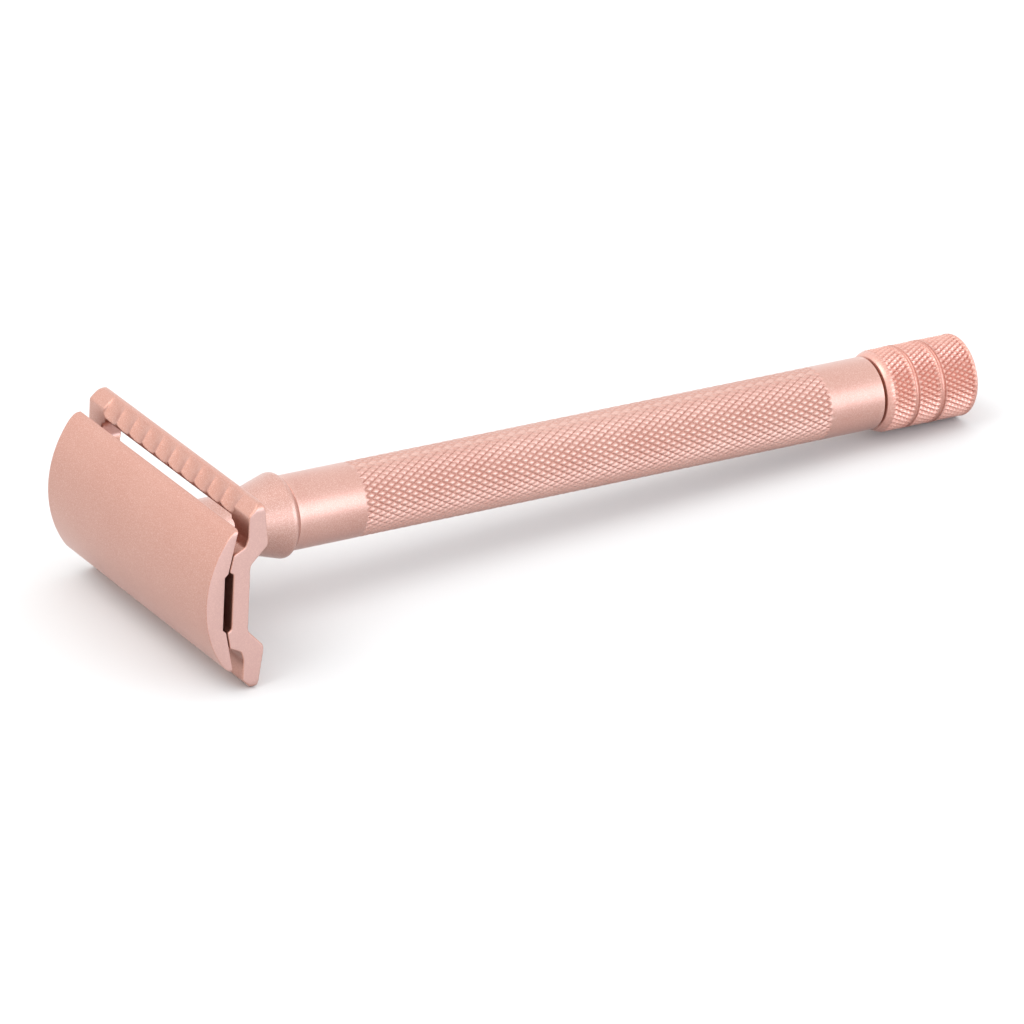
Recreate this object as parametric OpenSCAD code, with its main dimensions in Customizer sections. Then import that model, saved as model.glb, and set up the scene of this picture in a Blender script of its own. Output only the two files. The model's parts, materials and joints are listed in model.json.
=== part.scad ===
// Double-edge safety razor, two-piece pattern with a twist knob.
// Turning the knob turns a rod inside the handle, and the rod's tapped socket draws the
// cap's stud down or pushes it up.
// Every piece is drawn upright: x along the cap, y across it, z up the handle, with z = 0
// at the blade's edge line. lay_down() then rests the razor on the guard's lower bar and
// the knob's rim, handle along +Y.

/* [Head] */
// Length of the cap and of the guard plate
head_len = 42; // [36:0.5:51]
// Width of the cap from edge to edge
cap_w = 20.2; // [18:0.1:23]
// Height of the cap's crown over the blade's edge line
crown_h = 4.7; // [4:0.1:6]
// Width of the guard plate over both safety bars
guard_w = 26.1; // [25:0.1:32]
// Distance between the bar's scallops
flute_pitch = 3.4; // [3:0.1:4.2]
// Number of scallops on each safety bar
flute_count = 10; // [4:2:10]

/* [Handle] */
// Outer diameter of the handle tube
handle_d = 10.1; // [9.6:0.1:12.5]
// Length of the handle tube
handle_len = 92.6; // [70:0.2:115]
// Outer diameter of the neck between the guard and the cone
neck_d = 8.3; // [8:0.1:9.2]
// Length of the neck's straight part under the guard plate
neck_len = 10.3; // [9:0.1:14]
// Length of the cone between the neck and its ring
cone_len = 5.4; // [4:0.1:7]
// Thickness of the handle tube's wall
tube_wall = 0.85; // [0.7:0.05:0.95]

/* [Knob] */
// Outer diameter of the knob
knob_d = 11.5; // [10.5:0.1:14]
// Length of the knob
knob_len = 14.65; // [14:0.05:20]
// Width of the open joint between the handle tube and the knob
knob_gap = 0.35; // [0.3:0.05:0.8]

/* [Screw] */
// Diameter of the cap's stud
stud_d = 4.9; // [3.9:0.1:5.1]
// Rise of the cap for one turn of the knob
thread_pitch = 0.8; // [0.5:0.1:1]
// Turns of the knob before the stud leaves the socket
thread_turns = 10; // [6:1:12]
// Diameter of the draw rod
rod_d = 3.8; // [3:0.1:4.2]

/* [Fits] */
// Radial clearance of a running fit
run_fit = 0.05; // [0.02:0.01:0.1]
// Clearance between faces that turn on each other
face_fit = 0.05; // [0.03:0.01:0.1]
// Room for the blade between the cap and the guard plate
blade_gap = 0.15; // [0.1:0.01:0.3]
// Radial clearance of the cap's lugs in the guard plate
lug_fit = 0.15; // [0.1:0.01:0.3]

/* [Hidden] */
$fn = 64;
eps = 0.01;
rose = [0.85, 0.65, 0.6];
rose_deep = [0.8, 0.56, 0.52];
steel = [0.72, 0.72, 0.72];
bronze = [0.75, 0.6, 0.38];
nylon = [0.92, 0.9, 0.84];
nitrile = [0.12, 0.12, 0.12];

// Cap: a wide top arc that runs into a tight arc at each edge, over a blade seat that
// slopes down to the edge.
crown_r = 15.5;
edge_r = 3.6;
edge_rise = 1.32;
edge_turn = 34.6;
crown_c = crown_h - crown_r;
edge_y = cap_w / 2 - sqrt(edge_r * edge_r - pow(edge_rise, 2));
edge_z = crown_c + (crown_r - edge_r) * cos(edge_turn);
blade_tilt = 12;
tip_h = 0.32;
recess_w = 8.4;
recess_top_w = 7.5;
recess_h = 2.07;
cap_corner_r = 0.7;

// Guard plate: a flat middle, two blade ridges, and a bar with a sloping edge along each
// side.
guard_top = 0.82;
guard_bottom = -1.68;
seat_w = 7.8;
ridge_in = 4.25;
ridge_out = 6.6;
bowl_y = 7.4;
bowl_h = -0.75;
bar_in = 8.5;
bar_top = -1.15;
bar_fall = 1.5;
bar_r = 0.45;
bar_z = -3.1;
under_slope = 7;
wing_y = 7.6;
wing_r = 1.2;
wing_h = -4.2;
slot_end = 3.6;
slot_in = 6.65;
slot_w = 2.95;
slot_r = 0.9;
slot_edge_r = 1.1;
flute_in = 10.9;
flute_depth = 0.5;
flute_r = (pow(flute_pitch / 2, 2) + pow(flute_depth, 2)) / (2 * flute_depth);
flute_tilt = 30;
flute_lead = 2.5;
flute_len = 9;
guard_corner_r = 1;
foot_fillet = 1;
arc_steps = 10;

// Lugs and stud that hang from the cap.
lug_x = 11.6;
lug_r = 1.8;
lug_seat = 1;
lug_end = -1.4;
lug_lead = 0.4;
stud_r = stud_d / 2;
stud_seat = 1.6;
stud_lead = 0.5;

// Neck: it is swaged into the guard plate and pressed into the tube.
neck_r = neck_d / 2;
spigot_r = 3.4;
stud_clear = 0.3;
socket_top = -3.1;
socket_wall = 0.75;
neck_foot = guard_bottom - neck_len;
ring_r = handle_d / 2 + 0.7;
ring_top = neck_foot - cone_len;
ring_len = 0.5;
ring_round = 0.7;
tube_top = ring_top - ring_len - ring_round;
tube_r = handle_d / 2;
bore_r = tube_r - tube_wall;
tube_end = tube_top - handle_len;
tail_len = 8;

// Screw socket on top of the draw rod.
tap_r = stud_r + run_fit + 0.02;
socket_r = tap_r + socket_wall;
socket_bore = socket_r + run_fit;
stud_end = socket_top - thread_pitch * thread_turns;
tap_end = stud_end - 1.5;
rod_r = rod_d / 2;
rod_top = tap_end - 1.2;
rod_grip = 6;
socket_end = rod_top - rod_grip;
pin_r = 0.6;
neck_bush_wall = 0.4;
neck_bush_top = neck_foot - 0.8;
neck_bush_len = 8;

// Bearings at the knob's end of the tube.
rod_bore = rod_r + run_fit + 0.02;
guide_len = 6;
guide_z = (tube_top + tube_end) / 2;
bush_len = 7;
bush_top = tube_end + bush_len;
seal_r = 0.6;
seal_z = tube_end + bush_len / 2;
clip_groove_r = rod_r - 0.4;
clip_t = 0.5;
clip_r = rod_r + 1.4;
spring_h = 1.1;
spring_t = 0.3;
clip_z = bush_top + face_fit + spring_h;
washer_t = knob_gap - face_fit;
washer_r = tube_r - 0.7;

// Knob: a turned barrel with two grooves, on the rod's end.
knob_r = knob_d / 2;
knob_top = tube_end - knob_gap;
knob_end = knob_top - knob_len;
knob_round = 0.3;
knob_lead = 0.6;
knob_lead_len = 1.2;
knob_groove_w = 0.65;
knob_groove_d = 0.4;
knob_groove_1 = knob_top - 4.65;
knob_groove_2 = knob_top - 8.95;
rod_end = knob_end + 6.2;
web_t = 1.4;
screw_r = 1.2;
screw_len = 6;
head_r = 2.2;
head_h = 1.6;
well_r = 3;
plug_t = 1.3;
plug_sink = 0.2;

// Lying at rest: the guard's lower bar and the knob's rim touch the surface together.
drop_y = (guard_w / 2 - bar_r) - (knob_r - knob_round);
run_z = bar_z - (knob_end + knob_round);
reach = sqrt(drop_y * drop_y + run_z * run_z);
rest_tilt = acos((knob_round - bar_r) / reach) - atan2(run_z, drop_y);
rest_h = (guard_w / 2 - bar_r) * cos(rest_tilt) - bar_z * sin(rest_tilt) + bar_r;
front_y = -crown_c * cos(rest_tilt) - crown_r;
rim_y = (knob_r - knob_round) * sin(rest_tilt);
back_y = rim_y - (knob_end + knob_round) * cos(rest_tilt) + knob_round;
mid_y = (front_y + back_y) / 2;

// Rests the upright razor on its side.
module lay_down() {
    translate([0, -mid_y, rest_h]) rotate([90 - rest_tilt, 0, 0]) children();
}

// Points of an arc about c, from angle a0 to angle a1.
function arc(c, r, a0, a1) = [
    for (i = [0 : arc_steps])
        let (a = a0 + (a1 - a0) * i / arc_steps)
            [c.x + r * cos(a), c.y + r * sin(a)]
];

// Height of the cap's blade seat at distance y from the middle.
function seat_h(y) = tip_h + (cap_w / 2 - y) * tan(blade_tilt);

// Mirrors an outline's right half to the left.
function both_sides(half) = concat(half, [
    for (i = [len(half) - 1 : -1 : 0])
        if (half[i].x > eps) [-half[i].x, half[i].y]
]);

// A tube or ring about the handle's axis, between two heights.
module ring(outer, inner, low, high) {
    translate([0, 0, low]) difference() {
        cylinder(r = outer, h = high - low);
        translate([0, 0, -eps]) cylinder(r = inner, h = high - low + 2 * eps);
    }
}

// A round bar about the handle's axis, between two heights.
module bar(r, low, high) {
    translate([0, 0, low]) cylinder(r = r, h = high - low);
}

// A flat rectangle with round corners.
module round_plan(size, r) {
    square([size.x - 2 * r, size.y], center = true);
    square([size.x, size.y - 2 * r], center = true);
    for (sx = [-1, 1], sy = [-1, 1])
        translate([sx * (size.x / 2 - r), sy * (size.y / 2 - r)]) circle(r);
}

// Sweeps an outline drawn in y and z along the head.
module along_head(length) {
    rotate([90, 0, 90]) linear_extrude(height = length, center = true) children();
}

// The cap's outline across the head, before the blade seat is cut.
module cap_outline() {
    wedge = 2 * crown_r;
    intersection() {
        translate([0, crown_c]) circle(crown_r, $fn = 180);
        polygon([[0, crown_c], [wedge * sin(edge_turn), crown_c + wedge * cos(edge_turn)],
            [-wedge * sin(edge_turn), crown_c + wedge * cos(edge_turn)]]);
    }
    for (s = [-1, 1]) translate([s * edge_y, edge_z]) circle(edge_r, $fn = 90);
}

// The space under the cap: the sloping blade seats and the recess between them.
module under_cap() {
    reach_y = cap_w;
    below = 2 * crown_r;
    polygon([[recess_top_w / 2, recess_h], [recess_w / 2, seat_h(recess_w / 2)],
        [reach_y, seat_h(reach_y)], [reach_y, -below], [-reach_y, -below],
        [-reach_y, seat_h(reach_y)], [-recess_w / 2, seat_h(recess_w / 2)],
        [-recess_top_w / 2, recess_h]]);
}

module cap() {
    color(rose) lay_down() difference() {
        intersection() {
            along_head(head_len) difference() {
                cap_outline();
                under_cap();
            }
            linear_extrude(height = 2 * crown_h, center = true)
                round_plan([head_len, cap_w + 2 * eps], cap_corner_r);
        }
        bar(stud_r, 0, recess_h + stud_seat);
        for (s = [-1, 1]) translate([s * lug_x, 0, 0]) bar(lug_r, 0, recess_h + lug_seat);
    }
}

// One of the two posts that pass through the blade and the guard plate.
module cap_lug(side) {
    color(rose) lay_down() translate([side * lug_x, 0, 0]) {
        bar(lug_r, lug_end + lug_lead, recess_h + lug_seat);
        translate([0, 0, lug_end]) cylinder(r1 = lug_r - lug_lead, r2 = lug_r, h = lug_lead);
    }
}

module cap_lug_left() {
    cap_lug(-1);
}

module cap_lug_right() {
    cap_lug(1);
}

module cap_stud() {
    color(steel) lay_down() {
        bar(stud_r, stud_end + stud_lead, recess_h + stud_seat);
        translate([0, 0, stud_end])
            cylinder(r1 = stud_r - stud_lead, r2 = stud_r, h = stud_lead);
    }
}

// The guard plate's outline across the head.
module guard_outline() {
    bar_c = [guard_w / 2 - bar_r, bar_z];
    wing_c = [wing_y, wing_h + wing_r];
    wing_foot = wing_c + wing_r * [cos(225), sin(225)];
    foot_x = wing_foot.x - (guard_bottom - wing_foot.y) - foot_fillet * tan(22.5);
    half = concat(
        [[0, guard_top], [seat_w / 2, guard_top],
            [ridge_in, seat_h(ridge_in) - blade_gap],
            [ridge_out, seat_h(ridge_out) - blade_gap],
            [bowl_y, bowl_h], [bar_in, bar_top], [guard_w / 2 - bar_fall, bar_top],
            [guard_w / 2, bar_top - bar_fall]],
        arc(bar_c, bar_r, 0, -90 - under_slope),
        arc(wing_c, wing_r, 270 - under_slope, 225),
        arc([foot_x, guard_bottom - foot_fillet], foot_fillet, 45, 90),
        [[0, guard_bottom]]);
    polygon(both_sides(half));
}

// One scallop across the sloping edge of a safety bar. It runs outwards and down, and two
// neighbours meet in a ridge whose tip is at the bar's top.
module flute(x, side) {
    translate([x, side * flute_in, bar_top]) rotate([-side * (90 + flute_tilt), 0, 0])
        translate([0, -side * (flute_r - flute_depth), -flute_lead])
            cylinder(r = flute_r, h = flute_len);
}

// The rounding along the bar's top edge over a slot.
module slot_edge(length, side) {
    edge_c = slot_in + slot_w + slot_edge_r;
    along_head(length) scale([side, 1]) difference() {
        translate([edge_c - slot_edge_r, bar_top - slot_edge_r]) square(slot_edge_r + eps);
        translate([edge_c, bar_top - slot_edge_r]) circle(slot_edge_r);
    }
}

module guard_plate() {
    slot_len = head_len - 2 * slot_end;
    first = -(flute_count - 1) / 2 * flute_pitch;
    color(rose) lay_down() difference() {
        intersection() {
            along_head(head_len) guard_outline();
            linear_extrude(height = 20, center = true)
                round_plan([head_len, guard_w], guard_corner_r);
        }
        for (s = [-1, 1]) translate([0, s * (slot_in + slot_w / 2), wing_h - 1])
            linear_extrude(height = 8) round_plan([slot_len, slot_w], slot_r);
        for (s = [-1, 1]) slot_edge(slot_len - 2 * slot_r, s);
        for (s = [-1, 1], i = [0 : flute_count - 1]) flute(first + i * flute_pitch, s);
        for (s = [-1, 1]) translate([s * lug_x, 0, 0])
            bar(lug_r + lug_fit, guard_bottom - 1, guard_top + 1);
        bar(spigot_r, guard_bottom - 1, guard_top + 1);
    }
}

module neck() {
    tail_end = tube_top - tail_len;
    color(rose) lay_down() rotate_extrude() polygon(concat(
        [[stud_r + stud_clear, guard_top], [spigot_r, guard_top], [spigot_r, guard_bottom],
            [neck_r, guard_bottom], [neck_r, neck_foot], [ring_r, ring_top]],
        arc([ring_r - ring_round, ring_top - ring_len], ring_round, 0, -90),
        [[bore_r, tube_top], [bore_r, tail_end],
            [socket_bore + neck_bush_wall, tail_end],
            [socket_bore + neck_bush_wall, neck_bush_top], [socket_bore, neck_bush_top],
            [socket_bore, socket_top + face_fit], [stud_r + stud_clear, socket_top + face_fit]]));
}

module neck_bush() {
    color(bronze) lay_down()
        ring(socket_bore + neck_bush_wall, socket_bore, neck_bush_top - neck_bush_len,
            neck_bush_top);
}

module handle_tube() {
    color(rose) lay_down() ring(tube_r, bore_r, tube_end, tube_top);
}

module rod_socket() {
    pin_z = (rod_top + socket_end) / 2;
    color(steel) lay_down() difference() {
        bar(socket_r, socket_end, socket_top);
        bar(tap_r, tap_end, socket_top + 1);
        bar(rod_r, socket_end - 1, rod_top);
        translate([0, 0, pin_z]) rotate([0, 90, 0])
            cylinder(r = pin_r, h = 3 * socket_r, center = true);
    }
}

module socket_pin() {
    pin_z = (rod_top + socket_end) / 2;
    color(steel) lay_down() translate([0, 0, pin_z]) rotate([0, 90, 0])
        cylinder(r = pin_r, h = 2 * (socket_r - 0.15), center = true);
}

module draw_rod() {
    pin_z = (rod_top + socket_end) / 2;
    color(steel) lay_down() difference() {
        bar(rod_r, rod_end, rod_top);
        ring(rod_r + 1, clip_groove_r, clip_z, clip_z + clip_t);
        bar(screw_r, rod_end - 1, rod_end + screw_len);
        translate([0, 0, pin_z]) rotate([0, 90, 0])
            cylinder(r = pin_r, h = 3 * rod_r, center = true);
    }
}

module rod_guide() {
    color(nylon) lay_down()
        ring(bore_r, rod_bore, guide_z - guide_len / 2, guide_z + guide_len / 2);
}

module lower_bush() {
    groove_r = rod_bore + 2 * seal_r;
    color(bronze) lay_down() difference() {
        ring(bore_r, rod_bore, tube_end, bush_top);
        bar(groove_r, seal_z - seal_r, seal_z + seal_r);
    }
}

module rod_seal() {
    color(nitrile) lay_down() translate([0, 0, seal_z]) rotate_extrude()
        translate([rod_bore + seal_r, 0]) circle(seal_r - eps);
}

module retaining_ring() {
    mouth = 1.4 * clip_groove_r;
    color(steel) lay_down() difference() {
        ring(clip_r, clip_groove_r, clip_z, clip_z + clip_t);
        translate([0, -mouth / 2, clip_z - 1]) cube([2 * clip_r, mouth, clip_t + 2]);
    }
}

module disc_spring() {
    low = bush_top + face_fit;
    inner = rod_r + 0.15;
    outer = clip_r + 0.3;
    color(steel) lay_down() rotate_extrude()
        polygon([[inner, low + spring_h - spring_t], [outer, low],
            [outer, low + spring_t], [inner, low + spring_h]]);
}

module thrust_washer() {
    color(bronze) lay_down() ring(washer_r, rod_bore, tube_end - washer_t, tube_end);
}

module knob() {
    color(rose_deep) lay_down() difference() {
        rotate_extrude() polygon(concat(
            [[rod_r, knob_top], [knob_r - knob_lead, knob_top],
                [knob_r, knob_top - knob_lead_len]],
            [for (z = [knob_groove_1, knob_groove_2]) each
                [[knob_r, z + knob_groove_w / 2],
                    [knob_r - knob_groove_d, z + knob_groove_w / 2],
                    [knob_r - knob_groove_d, z - knob_groove_w / 2],
                    [knob_r, z - knob_groove_w / 2]]],
            arc([knob_r - knob_round, knob_end + knob_round], knob_round, 0, -90),
            [[well_r, knob_end], [well_r, rod_end - web_t], [screw_r, rod_end - web_t],
                [screw_r, rod_end], [rod_r, rod_end]]));
    }
}

module knob_screw() {
    slot = 0.5;
    seat = rod_end - web_t;
    color(steel) lay_down() difference() {
        union() {
            bar(screw_r, seat, rod_end + screw_len - 1);
            bar(head_r, seat - head_h, seat);
        }
        translate([-head_r - 1, -slot / 2, seat - head_h - 1])
            cube([2 * head_r + 2, slot, 1 + head_h / 2]);
    }
}

module knob_plug() {
    color(rose_deep) lay_down()
        bar(well_r, knob_end + plug_sink, knob_end + plug_sink + plug_t);
}

cap();
cap_lug_left();
cap_lug_right();
cap_stud();
guard_plate();
neck();
neck_bush();
handle_tube();
rod_socket();
socket_pin();
draw_rod();
rod_guide();
lower_bush();
rod_seal();
retaining_ring();
disc_spring();
thrust_washer();
knob();
knob_screw();
knob_plug();
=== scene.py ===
"""Looks for a double-edge safety razor with a scalloped guard, a knurled handle and a twist knob.

Every piece is drawn upright in millimetres, with x along the cap, y across it and z up the
handle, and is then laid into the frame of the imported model. z is 0 at the blade's edge line.
"""

from __future__ import annotations

import json
import logging
import math
from dataclasses import dataclass, field, replace
from enum import Enum
from typing import Any, Callable, Mapping, Sequence

import bmesh
import bpy
import numpy as np
from mathutils import Matrix, Vector

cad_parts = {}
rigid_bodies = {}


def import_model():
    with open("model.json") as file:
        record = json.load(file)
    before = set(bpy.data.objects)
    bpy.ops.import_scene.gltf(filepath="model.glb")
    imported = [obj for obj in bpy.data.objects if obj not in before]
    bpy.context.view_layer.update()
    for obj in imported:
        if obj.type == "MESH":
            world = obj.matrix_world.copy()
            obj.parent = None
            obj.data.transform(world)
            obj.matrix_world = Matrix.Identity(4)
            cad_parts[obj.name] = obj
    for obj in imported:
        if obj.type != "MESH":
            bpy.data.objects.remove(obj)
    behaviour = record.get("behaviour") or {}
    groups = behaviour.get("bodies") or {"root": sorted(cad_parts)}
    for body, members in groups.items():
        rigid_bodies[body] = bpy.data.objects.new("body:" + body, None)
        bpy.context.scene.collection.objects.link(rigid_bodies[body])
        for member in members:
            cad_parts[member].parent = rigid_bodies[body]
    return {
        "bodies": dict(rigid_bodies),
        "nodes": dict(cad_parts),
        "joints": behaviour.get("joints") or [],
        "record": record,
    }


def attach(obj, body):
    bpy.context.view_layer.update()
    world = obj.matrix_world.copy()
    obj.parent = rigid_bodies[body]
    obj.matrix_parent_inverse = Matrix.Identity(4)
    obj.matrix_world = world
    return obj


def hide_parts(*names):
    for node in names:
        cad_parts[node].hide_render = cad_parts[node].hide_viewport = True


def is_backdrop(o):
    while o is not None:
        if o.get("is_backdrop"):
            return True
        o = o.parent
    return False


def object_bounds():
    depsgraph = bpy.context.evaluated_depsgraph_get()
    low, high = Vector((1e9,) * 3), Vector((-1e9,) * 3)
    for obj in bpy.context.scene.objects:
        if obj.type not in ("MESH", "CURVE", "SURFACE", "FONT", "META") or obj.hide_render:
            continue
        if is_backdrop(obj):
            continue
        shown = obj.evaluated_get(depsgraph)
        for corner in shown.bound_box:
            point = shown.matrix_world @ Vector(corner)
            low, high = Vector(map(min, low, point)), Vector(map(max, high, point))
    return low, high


LOG = logging.getLogger("razor")
MM = 0.001
STRAIGHT = 0.01  # a corner that bends less than twice this, in radians, is left unrounded
Point = tuple[float, float]
Place = tuple[float, float, float]
Colour = tuple[float, float, float]


class Body(Enum):
    """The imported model's bodies."""

    HANDLE = "handle"
    KNOB = "knob"
    CAP = "cap"


class Split(Enum):
    """How a four-sided patch of a turned surface is cut into triangles."""

    NONE = 0
    FALLING = 1
    RISING = 2


# ---------------------------------------------------------------------------------------
# Placing and meshing
# ---------------------------------------------------------------------------------------


@dataclass(frozen=True)
class Lay:
    """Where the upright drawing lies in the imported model's frame."""

    origin: Vector
    head: Vector

    @classmethod
    def from_record(cls, record: Mapping[str, Any], seat_height: float) -> Lay:
        """Reads the lie of the razor from its record.

        Args:
            record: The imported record.
            seat_height: Height of the blade seat over the drawing's origin, in mm.

        Returns:
            The lie of the upright drawing.
        """
        lift = next(j for j in record["behaviour"]["joints"] if j["name"] == "cap_lift")
        seat = next(m for m in record["mounts"] if m["name"] == "blade_seat")
        head = Vector(lift["axis"]).normalized()
        return cls(Vector(seat["pos_m"]) - head * seat_height * MM, head)

    def matrix(self) -> Matrix:
        """The transform from upright millimetres to the frame's metres."""
        along = Vector((1.0, 0.0, 0.0))
        across = self.head.cross(along)
        turn = Matrix((along, across, self.head)).transposed().to_4x4()
        return Matrix.Translation(self.origin) @ turn @ Matrix.Scale(MM, 4)


def arc(centre: Point, radius: float, start: float, end: float, steps: int) -> list[Point]:
    """Points of an arc.

    Args:
        centre: The arc's centre.
        radius: The arc's radius.
        start: Angle of the first point, in degrees.
        end: Angle of the last point, in degrees.
        steps: Number of chords.

    Returns:
        The points, from start to end.
    """
    turns = [math.radians(start + (end - start) * i / steps) for i in range(steps + 1)]
    return [(centre[0] + radius * math.cos(a), centre[1] + radius * math.sin(a)) for a in turns]


def rounded(corners: Sequence[Place], steps: int = 6) -> list[Point]:
    """Rounds the corners of a line.

    Args:
        corners: The line's corners, each with its radius. The two ends stay as they are.
        steps: Number of chords in each rounding.

    Returns:
        The rounded line.
    """
    line: list[Point] = [corners[0][:2]]
    for before, here, after in zip(corners, corners[1:], corners[2:]):
        p, radius = Vector(here[:2]), here[2]
        a = (Vector(before[:2]) - p).normalized()
        b = (Vector(after[:2]) - p).normalized()
        half = a.angle(b) / 2
        if radius <= 0 or math.pi / 2 - half < STRAIGHT:
            line.append((p.x, p.y))
            continue
        centre = p + (a + b).normalized() * (radius / math.sin(half))
        first = p + a * (radius / math.tan(half)) - centre
        last = p + b * (radius / math.tan(half)) - centre
        sweep = first.angle_signed(last)
        begin = math.atan2(first.y, first.x)
        for i in range(steps + 1):
            turn = begin - sweep * i / steps
            line.append((centre.x + radius * math.cos(turn), centre.y + radius * math.sin(turn)))
    line.append(corners[-1][:2])
    return line


def mesh_object(name: str, verts: Any, faces: Any) -> bpy.types.Object:
    """Makes a linked mesh object with outward faces.

    Args:
        name: The object's name.
        verts: Vertex places.
        faces: Vertex numbers of each face.

    Returns:
        The object.
    """
    mesh = bpy.data.meshes.new(name)
    mesh.from_pydata([tuple(map(float, v)) for v in verts], [], [tuple(map(int, f)) for f in faces])
    mesh.validate()
    shape = bmesh.new()
    shape.from_mesh(mesh)
    bmesh.ops.recalc_face_normals(shape, faces=shape.faces)
    shape.to_mesh(mesh)
    shape.free()
    made = bpy.data.objects.new(name, mesh)
    bpy.context.scene.collection.objects.link(made)
    return made


def prism(name: str, outline: Sequence[Point], to_point: Callable[[float, float, float], Place],
          low: float, high: float) -> bpy.types.Object:
    """Sweeps a closed outline along a straight line.

    Args:
        name: The object's name.
        outline: The closed outline.
        to_point: Turns an outline point and a distance along the sweep into a place.
        low: Where the sweep starts.
        high: Where the sweep ends.

    Returns:
        The object.
    """
    count = len(outline)
    verts = [to_point(a, b, s) for s in (low, high) for a, b in outline]
    sides = [(i, (i + 1) % count, (i + 1) % count + count, i + count) for i in range(count)]
    return mesh_object(name, verts, [*sides, range(count), range(2 * count - 1, count - 1, -1)])


def drop(*used: bpy.types.Object) -> None:
    """Removes helper objects."""
    for helper in used:
        bpy.data.meshes.remove(helper.data)


def modified(piece: bpy.types.Object, kind: str, **settings: Any) -> None:
    """Runs one modifier over a piece and keeps its result.

    Args:
        piece: The mesh object.
        kind: The modifier's type.
        **settings: The modifier's settings.
    """
    step = piece.modifiers.new(kind.lower(), kind)
    for key, value in settings.items():
        setattr(step, key, value)
    bpy.context.view_layer.update()
    graph = bpy.context.evaluated_depsgraph_get()
    done = bpy.data.meshes.new_from_object(piece.evaluated_get(graph))
    before = piece.data
    piece.modifiers.clear()
    piece.data = done
    bpy.data.meshes.remove(before)
    done.name = piece.name


def cut(piece: bpy.types.Object, tool: bpy.types.Object, keep_common: bool = False) -> None:
    """Cuts a piece with a tool, or keeps what they share, and removes the tool.

    Args:
        piece: The piece that is cut.
        tool: The closed mesh that cuts it.
        keep_common: Keeps the common part instead of the rest.
    """
    how = "INTERSECT" if keep_common else "DIFFERENCE"
    modified(piece, "BOOLEAN", operation=how, solver="EXACT", object=tool)
    drop(tool)


def settle(piece: bpy.types.Object, lay: Lay, sharp_angle: float) -> None:
    """Lays an upright piece into the frame and sets its shading.

    Args:
        piece: The piece, in upright millimetres.
        lay: The lie of the drawing.
        sharp_angle: Edges sharper than this stay crisp, in degrees.
    """
    piece.data.transform(lay.matrix())
    piece.data.polygons.foreach_set("use_smooth", [True] * len(piece.data.polygons))
    piece.data.set_sharp_from_angle(angle=math.radians(sharp_angle))
    piece.data.update()


@dataclass
class TurnedGrid:
    """A closed surface of revolution about the handle's axis, built row by row."""

    columns: int
    heights: list[float] = field(default_factory=list)
    radii: list[np.ndarray] = field(default_factory=list)
    splits: list[np.ndarray] = field(default_factory=list)

    def row(self, radius: float | np.ndarray, height: float, splits: np.ndarray | None = None) -> None:
        """Adds a row.

        Args:
            radius: The row's radius, or one for each column.
            height: The row's height.
            splits: How each patch after this row is cut, as values of Split.
        """
        self.heights.append(height)
        self.radii.append(np.broadcast_to(np.asarray(radius, float), (self.columns,)).copy())
        self.splits.append(np.full(self.columns, Split.NONE.value) if splits is None else splits)

    def line(self, points: Sequence[Point]) -> None:
        """Adds plain rows, each a radius and a height."""
        for radius, height in points:
            self.row(radius, height)

    def build(self, name: str, loop: bool) -> bpy.types.Object:
        """Makes the mesh.

        Args:
            name: The object's name.
            loop: Joins the last row to the first, for a bored piece. Otherwise both ends are
                closed with flat faces.

        Returns:
            The object, upright and in millimetres.
        """
        turn = np.arange(self.columns) * (2 * math.pi / self.columns)
        radii = np.array(self.radii)
        heights = np.broadcast_to(np.array(self.heights)[:, None], radii.shape)
        verts = np.stack([radii * np.cos(turn), radii * np.sin(turn), heights], axis=2).reshape(-1, 3)
        rows = len(self.heights)
        faces: list[Sequence[int]] = []
        for i in range(rows if loop else rows - 1):
            here, below = i * self.columns, (i + 1) % rows * self.columns
            for j in range(self.columns):
                k = (j + 1) % self.columns
                a, b, c, d = here + j, here + k, below + k, below + j
                if self.splits[i][j] == Split.FALLING.value:
                    faces += [(a, b, c), (a, c, d)]
                elif self.splits[i][j] == Split.RISING.value:
                    faces += [(a, b, d), (b, c, d)]
                else:
                    faces.append((a, b, c, d))
        if not loop:
            faces += [range(self.columns), range((rows - 1) * self.columns, rows * self.columns)]
        return mesh_object(name, verts, faces)


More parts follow.
